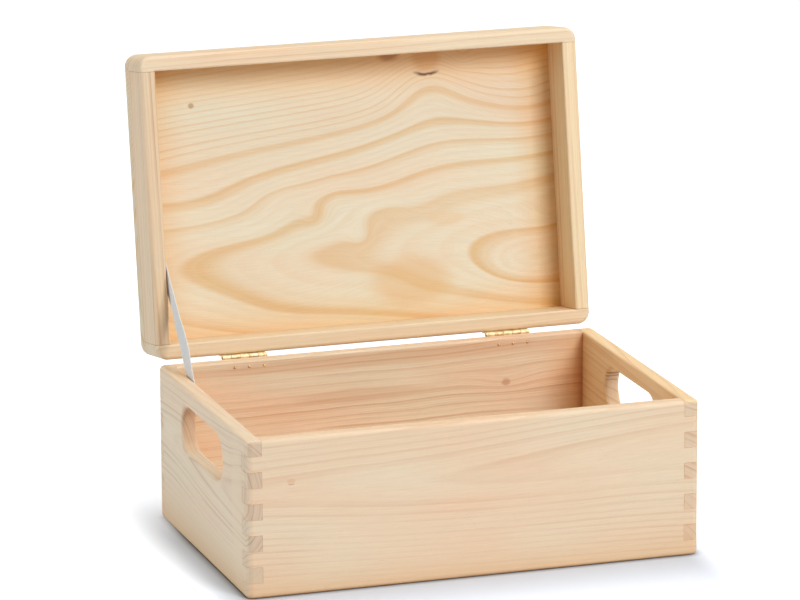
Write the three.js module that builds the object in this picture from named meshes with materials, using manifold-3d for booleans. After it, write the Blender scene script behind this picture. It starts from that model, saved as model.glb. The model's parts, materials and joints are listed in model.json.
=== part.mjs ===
// A kindling box of solid pine with a hinged lid, shown with its lid open.
// The body is four boards with fingered corners and a thin bottom let into a rebate.
// The lid is a frame of four rails under one wide board. Two small brass hinges join them at
// the back, and a cotton tape stops the lid just past upright.
//
// Millimetres. X runs along the box, Y from front to back, Z up. The origin lies in the middle
// of the underside.

import * as THREE from 'three';
import { mergeVertices } from 'three/addons/utils/BufferGeometryUtils.js';
import Module from 'manifold-3d';

const wasm = await Module();
wasm.setup();

// ---------------------------------------------------------------- driving dimensions

// the body
const BOX_LENGTH = 300;
const BOX_DEPTH = 198;
const BODY_HEIGHT = 102;
const BOARD = 10; // thickness of the four walls and of the lid's rails
const FINGERS = 10; // rows of fingers up each corner, odd and even boards in turn
const OUTER_ROUND = 2.6; // the sanded outer edges
const INNER_ROUND = 1.4; // the eased inner edges of the two rims
const BODY_CORNER = 4.6; // the upright corners, in plan

// the bottom, let in from below
const BOTTOM_THICKNESS = 4;
const BOTTOM_REBATE = 5; // how far it reaches into the walls
const BOTTOM_CLEARANCE = 0.3;

// the hand holes
const HOLE_LENGTH = 92;
const HOLE_HEIGHT = 30;
const HOLE_DROP = 12; // from the rim to the top of the hole
const HOLE_ROUND = 2.4;

// the lid
const RAIL_HEIGHT = 30;
const LID_BOARD = 10;
const LID_CORNER = 8; // the lid's corners, in plan
const SEAM = 0.4; // between the closed lid and the body
const LID_LEAN = 9; // degrees past upright when the tape is tight
const GLUE_GAP = 0.1; // between glued faces in the turned lid

// the hinges
const HINGE_LENGTH = 30;
const HINGE_IN = 59; // from an end of the box to a hinge's middle
const LEAF_THICKNESS = 0.9;
const LEAF_HEIGHT = 8; // from the pin's line to the leaf's edge
const LEAF_GAP = 0.1; // between a leaf and its wood
const BARREL_RADIUS = 1.6;
const BARREL_CLEARANCE = 0.3; // between a knuckle and the other leaf
const KNUCKLES = 5;
const KNUCKLE_GAP = 0.2;
const PIN_RADIUS = 0.75;
const PIN_CLEARANCE = 0.1;
const PIN_CAP_RADIUS = 1.25;
const PIN_CAP = 0.5;

// the nails in the hinges
const NAILS = 3; // in each leaf
const NAIL_RADIUS = 0.7;
const NAIL_CLEARANCE = 0.1;
const NAIL_HEAD_RADIUS = 1.4;
const NAIL_HEAD = 0.6;
const NAIL_POINT = 1.6;
const NAIL_ROW = 4; // from the pin's line to the row of nails
const NAIL_END = 5; // from the hinge's end to its first nail
const BODY_NAIL = 12.2; // long enough to come through the back board
const LID_NAIL = 9.5;

// the tape that stops the lid
const TAPE_WIDTH = 14;
const TAPE_THICKNESS = 0.5;
const TAPE_GAP = 0.1; // between the tape and the wood it lies on
const TAPE_TAIL = 8; // from a tack to the tape's end
const BODY_TACK_IN = 48.4; // from the box's back to the tack in the body
const BODY_TACK_DROP = 9.8; // from the body's rim down to it
const LID_TACK_IN = 58.8; // from the lid's back to the tack in the lid
const LID_TACK_RISE = 8.1; // from the lid's rim up to it
const TACK_RADIUS = 0.6;
const TACK_CLEARANCE = 0.2;
const TACK_LENGTH = 7;
const TACK_HEAD_RADIUS = 2.5;
const TACK_HEAD = 1;

// how finely round forms are cut
const ROUND_STEPS = 4; // in a quarter of a sanded edge
const CORNER_STEPS = 6; // in an upright corner
const HOLE_STEPS = 24; // round a hand hole's ends
const BARREL_STEPS = 16;
const SHANK_STEPS = 8;
const HEAD_STEPS = 3; // from a dome's rim to its top
const OVERCUT = 1; // how far cutting shapes stand clear of what they cut

// ---------------------------------------------------------------- what follows from them

const FINGER = BODY_HEIGHT / FINGERS;
const SIDE_X = BOX_LENGTH / 2;
const BACK_Y = BOX_DEPTH / 2;
const INNER_X = SIDE_X - BOARD;
const INNER_Y = BACK_Y - BOARD;
const LID_HEIGHT = RAIL_HEIGHT + LID_BOARD;
const LID_RIM = BODY_HEIGHT + SEAM; // height of the closed lid's rim
const PIN_Y = BACK_Y + LEAF_GAP + BARREL_RADIUS;
const PIN_Z = BODY_HEIGHT + SEAM / 2;
const LID_TURN = THREE.MathUtils.degToRad(90 + LID_LEAN);
const HOLE_Z = BODY_HEIGHT - HOLE_DROP - HOLE_HEIGHT / 2;

// ---------------------------------------------------------------- solids and materials

// Turns a closed geometry into a solid, with its shared corners merged and without the slivers
// that a lathe leaves where its profile meets the axis.
function solid(geometry) {
  geometry.deleteAttribute('normal');
  geometry.deleteAttribute('uv');
  const merged = mergeVertices(geometry, 1e-5);
  const corners = merged.index.array;
  const kept = [];
  for (let i = 0; i < corners.length; i += 3) {
    const [a, b, c] = [corners[i], corners[i + 1], corners[i + 2]];
    if (a !== b && b !== c && c !== a) kept.push(a, b, c);
  }
  return new wasm.Manifold(new wasm.Mesh({
    numProp: 3,
    vertProperties: new Float32Array(merged.attributes.position.array),
    triVerts: new Uint32Array(kept),
  }));
}

function join(solids) {
  return solids.reduce((sum, next) => sum.add(next));
}

function cut(body, cutters) {
  return cutters.reduce((left, cutter) => left.subtract(cutter), body);
}

// Adds a finished solid to a group as a named mesh with its own material.
function place(group, name, body, material) {
  const { vertProperties, triVerts } = body.getMesh();
  const geometry = new THREE.BufferGeometry();
  geometry.setAttribute('position', new THREE.BufferAttribute(vertProperties, 3));
  geometry.setIndex(new THREE.BufferAttribute(triVerts, 1));
  geometry.computeVertexNormals();
  const mesh = new THREE.Mesh(geometry, material);
  mesh.name = name;
  group.add(mesh);
}

function pine(color) {
  return new THREE.MeshStandardMaterial({ color, roughness: 0.62, metalness: 0 });
}

function plywood() {
  return new THREE.MeshStandardMaterial({ color: 0xd9bd93, roughness: 0.7, metalness: 0 });
}

function brass() {
  return new THREE.MeshStandardMaterial({ color: 0xc9a25e, roughness: 0.32, metalness: 1 });
}

function cotton() {
  return new THREE.MeshStandardMaterial({ color: 0xdedad2, roughness: 0.9, metalness: 0 });
}

// ---------------------------------------------------------------- shapes used more than once

// A block between two opposite corners.
function block(low, high) {
  const size = high.map((value, axis) => value - low[axis]);
  const middle = high.map((value, axis) => (value + low[axis]) / 2);
  return solid(new THREE.BoxGeometry(...size).translate(...middle));
}

// A rectangle with rounded corners, centred on the origin.
function roundedRectangle(length, depth, radius) {
  const x = length / 2;
  const y = depth / 2;
  const shape = new THREE.Shape();
  shape.moveTo(x - radius, -y);
  shape.absarc(x - radius, -y + radius, radius, -Math.PI / 2, 0);
  shape.absarc(x - radius, y - radius, radius, 0, Math.PI / 2);
  shape.absarc(-x + radius, y - radius, radius, Math.PI / 2, Math.PI);
  shape.absarc(-x + radius, -y + radius, radius, Math.PI, Math.PI * 1.5);
  return shape;
}

// The whole outer form of the body or of the lid, with every outer edge sanded round.
function sandedForm(height, corner) {
  const inset = 2 * OUTER_ROUND;
  const outline = roundedRectangle(BOX_LENGTH - inset, BOX_DEPTH - inset, corner - OUTER_ROUND);
  const form = new THREE.ExtrudeGeometry(outline, {
    depth: height - inset,
    bevelThickness: OUTER_ROUND,
    bevelSize: OUTER_ROUND,
    bevelSegments: ROUND_STEPS,
    curveSegments: CORNER_STEPS,
  });
  return solid(form.translate(0, 0, OUTER_ROUND));
}

// What sanding takes off the inner edges of a rim whose face looks up at a given height: one
// ring round the opening, mitred at its four corners.
function easedRim(height) {
  const section = [[OVERCUT, OVERCUT], [-INNER_ROUND, OVERCUT]];
  for (let step = 0; step <= ROUND_STEPS; step += 1) {
    const angle = (1 - step / ROUND_STEPS) * (Math.PI / 2);
    section.push([
      INNER_ROUND * (Math.cos(angle) - 1),
      INNER_ROUND * (Math.sin(angle) - 1),
    ]);
  }
  section.push([OVERCUT, -INNER_ROUND]);

  const corners = [[1, 1], [-1, 1], [-1, -1], [1, -1]];
  const points = [];
  const faces = [];
  corners.forEach(([sideX, sideY], corner) => {
    const here = corner * section.length;
    const next = ((corner + 1) % corners.length) * section.length;
    section.forEach(([inward, rise], i) => {
      const after = (i + 1) % section.length;
      points.push(sideX * (INNER_X - inward), sideY * (INNER_Y - inward), height + rise);
      faces.push(here + i, next + after, next + i);
      faces.push(here + i, here + after, next + after);
    });
  });
  const ring = new THREE.BufferGeometry();
  ring.setAttribute('position', new THREE.Float32BufferAttribute(points, 3));
  ring.setIndex(faces);
  return solid(ring);
}

// A round hole or rod along Y, starting at a point and running towards -Y. The rim of a hole's
// polygon stands outside the true circle, so that a rod of the same radius passes.
function bore(radius, x, z, fromY, length) {
  const around = radius / Math.cos(Math.PI / SHANK_STEPS);
  const rod = new THREE.CylinderGeometry(around, around, length, SHANK_STEPS);
  return solid(rod.translate(x, fromY - length / 2, z));
}

// A nail or tack with a domed head. Its shank points along -Y, and the underside of its head
// lies at the origin.
function headedPin(shankRadius, length, pointLength, headRadius, headHeight) {
  const profile = [
    new THREE.Vector2(0, -length),
    new THREE.Vector2(shankRadius, -length + pointLength),
    new THREE.Vector2(shankRadius, 0),
  ];
  for (let step = 0; step <= HEAD_STEPS; step += 1) {
    const angle = (step / HEAD_STEPS) * (Math.PI / 2);
    profile.push(new THREE.Vector2(headRadius * Math.cos(angle), headHeight * Math.sin(angle)));
  }
  profile[profile.length - 1].x = 0;
  return new THREE.LatheGeometry(profile, SHANK_STEPS);
}

// ---------------------------------------------------------------- the body

// A board with fingers at both ends, standing across the Y axis with its outer face towards -Y.
// Its fingers run past the corner on the rows that it owns: 0 for the first row, 1 for the next.
function fingeredBoard(reach, firstRow, outerY) {
  const right = [];
  for (let row = 0; row < FINGERS; row += 1) {
    const half = row % 2 === firstRow ? reach + OVERCUT : reach - BOARD;
    const low = row === 0 ? -OVERCUT : row * FINGER;
    const high = row === FINGERS - 1 ? BODY_HEIGHT + OVERCUT : (row + 1) * FINGER;
    right.push(new THREE.Vector2(half, low), new THREE.Vector2(half, high));
  }
  const left = right.map((point) => new THREE.Vector2(-point.x, point.y)).reverse();
  const outline = new THREE.Shape([...right, ...left]);
  const depth = BOARD + OVERCUT;
  const board = new THREE.ExtrudeGeometry(outline, { depth, bevelEnabled: false });
  return board.rotateX(Math.PI / 2).translate(0, outerY + BOARD, 0);
}

// A hand hole through a wall that stands across the X axis, from x to x + BOARD, with both of
// its edges eased: two turned ends and a straight middle of the same section.
function handHole(x) {
  const radius = HOLE_HEIGHT / 2;
  const wide = radius + HOLE_ROUND;
  const half = [new THREE.Vector2(wide, -OVERCUT)];
  for (let step = 0; step <= ROUND_STEPS; step += 1) {
    const angle = (1 - step / ROUND_STEPS) * (Math.PI / 2);
    const inset = HOLE_ROUND * (1 - Math.sin(angle));
    half.push(new THREE.Vector2(wide - HOLE_ROUND * Math.cos(angle), inset));
  }
  const mirrored = half.map((point) => new THREE.Vector2(point.x, BOARD - point.y)).reverse();
  const side = [...half, ...mirrored];
  const ends = [-1, 1].map((end) => {
    const low = new THREE.Vector2(0, -OVERCUT);
    const high = new THREE.Vector2(0, BOARD + OVERCUT);
    const turned = new THREE.LatheGeometry([low, ...side, high], HOLE_STEPS);
    const offset = (end * (HOLE_LENGTH - HOLE_HEIGHT)) / 2;
    return solid(turned.rotateZ(-Math.PI / 2).translate(x, offset, HOLE_Z));
  });
  const other = side.map((point) => new THREE.Vector2(-point.x, point.y)).reverse();
  const straight = new THREE.ExtrudeGeometry(new THREE.Shape([...side, ...other]), {
    depth: HOLE_LENGTH - HOLE_HEIGHT,
    bevelEnabled: false,
  });
  // the section's width becomes the hole's height, and its height runs through the wall
  straight.applyMatrix4(new THREE.Matrix4().set(
    0, 1, 0, x,
    0, 0, 1, -(HOLE_LENGTH - HOLE_HEIGHT) / 2,
    1, 0, 0, HOLE_Z,
    0, 0, 0, 1,
  ));
  return join([...ends, solid(straight)]);
}

const hingeReach = SIDE_X - HINGE_IN;
const hingeMiddles = [-hingeReach, hingeReach];

// Where the nails of both hinges stand along X.
function nailPlaces(middle) {
  const span = HINGE_LENGTH - 2 * NAIL_END;
  return Array.from({ length: NAILS }, (_, i) => (
    middle - span / 2 + (NAILS === 1 ? span / 2 : (span * i) / (NAILS - 1))
  ));
}

function nailBores(z, length) {
  const radius = NAIL_RADIUS + NAIL_CLEARANCE;
  return hingeMiddles.flatMap(nailPlaces).map((x) => (
    bore(radius, x, z, BACK_Y + OVERCUT, length + OVERCUT)
  ));
}

// A hole for a tack's shank in the left-hand wall of the body or of the lid.
function tackBore(y, z) {
  const radius = (TACK_RADIUS + TACK_CLEARANCE) / Math.cos(Math.PI / SHANK_STEPS);
  const length = TACK_LENGTH + OVERCUT;
  const rod = new THREE.CylinderGeometry(radius, radius, length, SHANK_STEPS);
  rod.rotateZ(Math.PI / 2).translate(-INNER_X + OVERCUT - length / 2, y, z);
  return solid(rod);
}

const bodyTack = { y: BACK_Y - BODY_TACK_IN, z: BODY_HEIGHT - BODY_TACK_DROP };
const lidTack = { y: BACK_Y - LID_TACK_IN, z: LID_RIM + LID_TACK_RISE };

function makeBody(group) {
  const form = sandedForm(BODY_HEIGHT, BODY_CORNER);
  const rebate = block(
    [-INNER_X - BOTTOM_REBATE, -INNER_Y - BOTTOM_REBATE, -OVERCUT],
    [INNER_X + BOTTOM_REBATE, INNER_Y + BOTTOM_REBATE, BOTTOM_THICKNESS],
  );
  const shared = [rebate, easedRim(BODY_HEIGHT)];

  const long = fingeredBoard(SIDE_X, 0, -BACK_Y);
  const front = form.intersect(solid(long.clone()));
  const back = form.intersect(solid(long.clone().rotateZ(Math.PI)));
  const nails = nailBores(PIN_Z - NAIL_ROW, BODY_NAIL);
  place(group, 'front_panel', cut(front, shared), pine(0xe8cfae));
  place(group, 'back_panel', cut(back, [...shared, ...nails]), pine(0xe0c09a));

  const short = fingeredBoard(BACK_Y, 1, -SIDE_X);
  const left = form.intersect(solid(short.clone().rotateZ(-Math.PI / 2)));
  const right = form.intersect(solid(short.clone().rotateZ(Math.PI / 2)));
  const leftCuts = [...shared, handHole(-SIDE_X), tackBore(bodyTack.y, bodyTack.z)];
  place(group, 'left_panel', cut(left, leftCuts), pine(0xdcc8a8));
  place(group, 'right_panel', cut(right, [...shared, handHole(INNER_X)]), pine(0xd8b48c));

  const reachX = INNER_X + BOTTOM_REBATE - BOTTOM_CLEARANCE;
  const reachY = INNER_Y + BOTTOM_REBATE - BOTTOM_CLEARANCE;
  const bottom = block([-reachX, -reachY, 0], [reachX, reachY, BOTTOM_THICKNESS]);
  place(group, 'bottom_panel', bottom, plywood());
}

// ---------------------------------------------------------------- the lid, as it lies closed

function makeLid(group) {
  const form = sandedForm(LID_HEIGHT, LID_CORNER).translate(0, 0, LID_RIM);
  // the lid's rim looks down, so its ring is made for a rim that looks up and turned over
  const rim = easedRim(0).mirror([0, 0, 1]).translate(0, 0, LID_RIM);
  const low = LID_RIM - OVERCUT;
  const joint = LID_RIM + RAIL_HEIGHT;
  const high = joint - GLUE_GAP;
  const farX = SIDE_X + OVERCUT;
  const farY = BACK_Y + OVERCUT;
  const reachY = INNER_Y - GLUE_GAP;
  const rail = (from, to, cuts, name) => {
    const body = form.intersect(block([...from, low], [...to, high]));
    place(group, name, cut(body, [rim, ...cuts]), pine(0xe6cdaa));
  };
  rail([-farX, -farY], [farX, -INNER_Y], [], 'lid_front_rail');
  rail([-farX, INNER_Y], [farX, farY], nailBores(PIN_Z + NAIL_ROW, LID_NAIL), 'lid_back_rail');
  rail([-farX, -reachY], [-INNER_X, reachY], [tackBore(lidTack.y, lidTack.z)], 'lid_left_rail');
  rail([INNER_X, -reachY], [farX, reachY], [], 'lid_right_rail');

  const top = block([-farX, -farY, joint], [farX, farY, joint + LID_BOARD + OVERCUT]);
  place(group, 'lid_board', form.intersect(top), pine(0xecd3ab));
}

// ---------------------------------------------------------------- the hinges

// One leaf and its knuckles about a pin along X through the origin. A leaf that belongs to the
// body hangs down from the pin; the lid's stands up from it. Knuckles go by turns.
function hingeLeaf(upward, firstKnuckle) {
  const inner = -BARREL_RADIUS;
  const outer = inner + LEAF_THICKNESS;
  const clear = BARREL_RADIUS + BARREL_CLEARANCE;
  const sign = upward ? 1 : -1;
  const upright = (from, to) => [Math.min(sign * from, sign * to), Math.max(sign * from, sign * to)];
  const half = HINGE_LENGTH / 2;
  const [plateLow, plateHigh] = upright(clear, LEAF_HEIGHT);
  const [webLow, webHigh] = upright(0, clear + LEAF_THICKNESS);
  const parts = [block([-half, inner, plateLow], [half, outer, plateHigh])];
  const pitch = HINGE_LENGTH / KNUCKLES;
  for (let i = firstKnuckle; i < KNUCKLES; i += 2) {
    const from = -half + i * pitch + (i === 0 ? 0 : KNUCKLE_GAP / 2);
    const to = -half + (i + 1) * pitch - (i === KNUCKLES - 1 ? 0 : KNUCKLE_GAP / 2);
    const barrel = new THREE.CylinderGeometry(
      BARREL_RADIUS, BARREL_RADIUS, to - from, BARREL_STEPS,
    );
    parts.push(solid(barrel.rotateZ(Math.PI / 2).translate((from + to) / 2, 0, 0)));
    parts.push(block([from, inner, webLow], [to, outer, webHigh]));
  }
  const reach = PIN_RADIUS + PIN_CLEARANCE;
  const hole = new THREE.CylinderGeometry(reach, reach, HINGE_LENGTH + OVERCUT, BARREL_STEPS);
  const nailRadius = NAIL_RADIUS + NAIL_CLEARANCE;
  const nailHoles = nailPlaces(0).map((x) => (
    bore(nailRadius, x, sign * NAIL_ROW, outer + OVERCUT, LEAF_THICKNESS + 2 * OVERCUT)
  ));
  return cut(join(parts), [solid(hole.rotateZ(Math.PI / 2)), ...nailHoles]);
}

// The pin, with a riveted cap at each end.
function hingePin() {
  const end = HINGE_LENGTH / 2 + PIN_CLEARANCE;
  const profile = [
    new THREE.Vector2(0, -end - PIN_CAP),
    new THREE.Vector2(PIN_RADIUS, -end - PIN_CAP),
    new THREE.Vector2(PIN_CAP_RADIUS, -end - PIN_CAP / 2),
    new THREE.Vector2(PIN_CAP_RADIUS, -end),
    new THREE.Vector2(PIN_RADIUS, -end),
  ];
  const other = profile.map((point) => new THREE.Vector2(point.x, -point.y)).reverse();
  const steps = BARREL_STEPS;
  return solid(new THREE.LatheGeometry([...profile, ...other], steps).rotateZ(Math.PI / 2));
}

function hingeNail(length, x, z) {
  const nail = headedPin(NAIL_RADIUS, length, NAIL_POINT, NAIL_HEAD_RADIUS, NAIL_HEAD);
  const seat = BACK_Y + LEAF_GAP + LEAF_THICKNESS + LEAF_GAP;
  return solid(nail.translate(x, seat, z));
}

function makeHinges(bodyGroup, lidGroup) {
  hingeMiddles.forEach((middle, index) => {
    const side = ['left', 'right'][index];
    const at = [middle, PIN_Y, PIN_Z];
    place(bodyGroup, `hinge_${side}_body_leaf`, hingeLeaf(false, 0).translate(at), brass());
    place(lidGroup, `hinge_${side}_lid_leaf`, hingeLeaf(true, 1).translate(at), brass());
    place(bodyGroup, `hinge_${side}_pin`, hingePin().translate(at), brass());
    nailPlaces(middle).forEach((x, i) => {
      const low = hingeNail(BODY_NAIL, x, PIN_Z - NAIL_ROW);
      const high = hingeNail(LID_NAIL, x, PIN_Z + NAIL_ROW);
      place(bodyGroup, `nail_${side}_body_${i + 1}`, low, brass());
      place(lidGroup, `nail_${side}_lid_${i + 1}`, high, brass());
    });
  });
}

// ---------------------------------------------------------------- the tape and its tacks

// A tack driven into a left-hand wall, its head standing on the tape.
function stayTack(y, z) {
  const tack = headedPin(TACK_RADIUS, TACK_LENGTH, TACK_RADIUS, TACK_HEAD_RADIUS, TACK_HEAD);
  tack.rotateZ(-Math.PI / 2);
  return solid(tack.translate(-INNER_X + TAPE_THICKNESS + 2 * TAPE_GAP, y, z));
}

// The tape runs straight from the tack in the body to the tack in the open lid.
function makeTape(group) {
  const y = lidTack.y - PIN_Y;
  const z = lidTack.z - PIN_Z;
  const open = new THREE.Vector2(
    PIN_Y + y * Math.cos(LID_TURN) + z * Math.sin(LID_TURN),
    PIN_Z - y * Math.sin(LID_TURN) + z * Math.cos(LID_TURN),
  );
  const start = new THREE.Vector2(bodyTack.y, bodyTack.z);
  const span = open.distanceTo(start);
  const outline = new THREE.Shape();
  outline.moveTo(-TAPE_TAIL, -TAPE_WIDTH / 2);
  outline.lineTo(span + TAPE_TAIL, -TAPE_WIDTH / 2);
  outline.lineTo(span + TAPE_TAIL, TAPE_WIDTH / 2);
  outline.lineTo(-TAPE_TAIL, TAPE_WIDTH / 2);
  for (const along of [0, span]) {
    const hole = new THREE.Path();
    hole.absarc(along, 0, TACK_RADIUS + TACK_CLEARANCE, 0, Math.PI * 2);
    outline.holes.push(hole);
  }
  const tape = new THREE.ExtrudeGeometry(outline, {
    depth: TAPE_THICKNESS,
    bevelEnabled: false,
    curveSegments: SHANK_STEPS,
  });
  // the outline's plane becomes the left-hand wall's inner face, turned to the tape's slope
  tape.rotateZ(open.clone().sub(start).angle());
  tape.applyMatrix4(new THREE.Matrix4().set(
    0, 0, 1, -INNER_X + TAPE_GAP,
    1, 0, 0, start.x,
    0, 1, 0, start.y,
    0, 0, 0, 1,
  ));
  place(group, 'stay_ribbon', solid(tape), cotton());
}

// ---------------------------------------------------------------- the assembly

const box = new THREE.Group();

const lidPivot = new THREE.Group();
lidPivot.position.set(0, PIN_Y, PIN_Z);
lidPivot.rotation.x = -LID_TURN;
const lid = new THREE.Group();
lid.position.set(0, -PIN_Y, -PIN_Z);
lidPivot.add(lid);
box.add(lidPivot);

makeBody(box);
makeLid(lid);
makeHinges(box, lid);
makeTape(box);
place(box, 'stay_body_tack', stayTack(bodyTack.y, bodyTack.z), brass());
place(lid, 'stay_lid_tack', stayTack(lidTack.y, lidTack.z), brass());

export default box;
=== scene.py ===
import json
from math import acos, cos, pi, radians, sin

import bmesh
import bpy
from mathutils import Color, Euler, Matrix, Vector


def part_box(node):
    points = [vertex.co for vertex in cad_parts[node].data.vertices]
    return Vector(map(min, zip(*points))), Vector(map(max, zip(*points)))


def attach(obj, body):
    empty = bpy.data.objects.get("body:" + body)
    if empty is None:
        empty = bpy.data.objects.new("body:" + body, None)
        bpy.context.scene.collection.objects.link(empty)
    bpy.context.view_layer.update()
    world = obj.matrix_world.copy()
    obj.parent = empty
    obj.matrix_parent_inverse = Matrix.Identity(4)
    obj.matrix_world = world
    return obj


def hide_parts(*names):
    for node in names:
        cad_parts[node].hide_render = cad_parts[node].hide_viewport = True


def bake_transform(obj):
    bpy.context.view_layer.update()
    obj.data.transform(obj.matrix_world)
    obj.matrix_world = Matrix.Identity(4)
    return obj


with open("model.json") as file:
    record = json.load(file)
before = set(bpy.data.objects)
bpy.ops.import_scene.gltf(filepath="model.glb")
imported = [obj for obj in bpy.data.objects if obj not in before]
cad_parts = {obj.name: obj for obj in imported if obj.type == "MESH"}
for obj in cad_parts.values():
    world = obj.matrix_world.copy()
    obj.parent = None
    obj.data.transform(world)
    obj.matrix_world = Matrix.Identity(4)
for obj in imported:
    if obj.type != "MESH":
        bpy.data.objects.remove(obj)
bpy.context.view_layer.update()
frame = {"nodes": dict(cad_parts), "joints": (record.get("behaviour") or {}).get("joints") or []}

MM = 0.001
scene = bpy.context.scene

# ------------------------------------------------------------------ the camera
# A long lens stands to the left of the box's front and looks a little down on it. Its turn,
# pitch, roll and length are those at which the box's own right angles fall where they should.

CAMERA_TURN = radians(18.207)
CAMERA_PITCH = radians(14.115)
CAMERA_ROLL = radians(-0.292)
CAMERA_LENS = 247.2
CAMERA_DISTANCE = 3.5187
CAMERA_TARGET = Vector((0, 0, 0.120))
FRAMING = Vector((-0.01624, 0.03519, 0))  # the picture's middle, right of and above the target

look = (
    Matrix.Rotation(-CAMERA_TURN, 4, "Z")
    @ Matrix.Rotation(pi / 2 - CAMERA_PITCH, 4, "X")
    @ Matrix.Rotation(CAMERA_ROLL, 4, "Z")
)
lens = bpy.data.cameras.new("camera")
lens.lens = CAMERA_LENS
lens.sensor_width = 36
lens.clip_end = 60
camera = bpy.data.objects.new("camera", lens)
scene.collection.objects.link(camera)
stand = CAMERA_TARGET + look.to_3x3() @ (FRAMING + Vector((0, 0, CAMERA_DISTANCE)))
camera.matrix_world = Matrix.Translation(stand) @ look
scene.camera = camera
scene.view_settings.view_transform = "Standard"


# ------------------------------------------------------------------ the floor and the light
# A plain pale floor without a horizon, one big soft lamp before the box and to its right, one
# above it, a small cool one low on its left, and a pale room all round. The floor gives the
# camera a little light of its own, which turns it white, but not on an oblong round the box:
# there its own shade stays, and the oblong's shape and fade paint where that shade reaches.

def colour(red, green, blue):
    """A colour as a paint chart gives it, from 0 to 255, made linear."""
    return (*Color((red / 255, green / 255, blue / 255)).from_srgb_to_scene_linear(), 1)


def node(tree, kind, values=None, **settings):
    """A new shader node. A value may be a number, a colour or another node's output."""
    made = tree.nodes.new("ShaderNode" + kind)
    for name, setting in settings.items():
        setattr(made, name, setting)
    for socket, value in (values or {}).items():
        if isinstance(value, bpy.types.NodeSocket):
            tree.links.new(value, made.inputs[socket])
        else:
            made.inputs[socket].default_value = value
    return made


def calc(tree, operation, *values):
    """The result of one step of arithmetic."""
    return node(tree, "Math", dict(enumerate(values)), operation=operation).outputs[0]


def new_material(name):
    """An empty material, its node tree and its output node."""
    made = bpy.data.materials.new(name)
    made.use_nodes = True
    made.node_tree.nodes.clear()
    return made, made.node_tree, node(made.node_tree, "OutputMaterial")


def seen(tree):
    """1 for what the camera sees, also through a reflection or glass, and 0 for what only lights."""
    path = node(tree, "LightPath")
    straight = calc(tree, "MAXIMUM", path.outputs["Is Camera Ray"], path.outputs["Is Glossy Ray"])
    return calc(tree, "MAXIMUM", straight, path.outputs["Is Transmission Ray"])


FLOOR_SIZE = 30
SHADE_MIDDLE = (-0.006, -0.035, 0)  # of the oblong on which the floor has no light of its own, which paints where the box's shade shows
SHADE_HALF = (0.144, 0.064, 0)
SHADE_REACH = (0.036, 0.135, 1)  # how far beyond it the light has grown to its full strength
GLOW = 0.68
CONTACT_SHADOW_REACH = 5 * MM  # how near the box the painted contact shadow darkens the paper

floor_material, tree, output = new_material("floor")
place = node(tree, "TexCoord").outputs["Object"]
away = node(tree, "VectorMath", {0: place, 1: SHADE_MIDDLE}, operation="SUBTRACT").outputs[0]
away = node(tree, "VectorMath", {0: away}, operation="ABSOLUTE").outputs[0]
away = node(tree, "VectorMath", {0: away, 1: SHADE_HALF}, operation="SUBTRACT").outputs[0]
away = node(tree, "VectorMath", {0: away, 1: (0, 0, 0)}, operation="MAXIMUM").outputs[0]
away = node(tree, "VectorMath", {0: away, 1: SHADE_REACH}, operation="DIVIDE").outputs[0]
away = node(tree, "VectorMath", {0: away}, operation="LENGTH").outputs["Value"]
level = node(tree, "MapRange", {"Value": away, "To Max": GLOW}, interpolation_type="SMOOTHSTEP")
level = level.outputs[0]
# painted contact shadow: where the box closes the paper in, its colour turns dark grey
painted_contact_shadow = node(tree, "AmbientOcclusion", {"Distance": CONTACT_SHADOW_REACH}, samples=8).outputs["AO"]
paper_and_painted_shadow = node(tree, "Mix", {
    0: painted_contact_shadow, 6: colour(116, 120, 126), 7: colour(215, 223, 236),
}, data_type="RGBA").outputs[2]
paper = node(tree, "BsdfDiffuse", {"Color": paper_and_painted_shadow})
glow = node(tree, "Emission", {"Strength": calc(tree, "MULTIPLY", seen(tree), level)})
both = node(tree, "AddShader", {0: paper.outputs[0], 1: glow.outputs[0]})
tree.links.new(both.outputs[0], output.inputs["Surface"])

bm = bmesh.new()
bmesh.ops.create_grid(bm, x_segments=1, y_segments=1, size=FLOOR_SIZE / 2)
floor_mesh = bpy.data.meshes.new("floor")
bm.to_mesh(floor_mesh)
bm.free()
floor_mesh.materials.append(floor_material)
floor = bpy.data.objects.new("floor", floor_mesh)
scene.collection.objects.link(floor)


def lamp(name, place, aim, size, power, tint):
    """A square soft lamp that stands at a place and points at another."""
    light = bpy.data.lights.new(name, "AREA")
    light.size = size
    light.energy = power
    light.color = tint
    made = bpy.data.objects.new(name, light)
    scene.collection.objects.link(made)
    turn = (Vector(aim) - Vector(place)).to_track_quat("-Z", "Y").to_matrix().to_4x4()
    made.matrix_world = Matrix.Translation(place) @ turn


lamp("key", (1.1, -2.85, 2.0), (0, 0, 0.1), 1.3, 76, (1, 0.985, 0.965))
lamp("top", (0.2, 0.1, 3.2), (0, 0, 0.1), 2.4, 47, (1, 0.99, 0.97))
lamp("left", (-2.4, 0.5, 0.35), (0, 0, 0.1), 0.6, 17.5, (0.92, 0.97, 1))

world = bpy.data.worlds.new("room")
world.use_nodes = True
world.node_tree.nodes.clear()
tree = world.node_tree
ROOM_LIGHT = 0.27  # what the room gives to everything but the camera
strength = calc(tree, "MULTIPLY_ADD", seen(tree), 1 - ROOM_LIGHT, ROOM_LIGHT)
white = node(tree, "Mix", {0: seen(tree), 6: (1, 0.93, 0.82, 1), 7: (1, 1, 1, 1)}, data_type="RGBA")
room = node(tree, "Background", {"Color": white.outputs[2], "Strength": strength})
tree.links.new(room.outputs[0], node(tree, "OutputWorld").inputs["Surface"])
scene.world = world


# ------------------------------------------------------------------ the front board
# A planed and sanded pine board with five fingers at each end, which lock into the side boards'.
# Its grain runs along it, nearly straight, in soft low-contrast lines.

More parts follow.
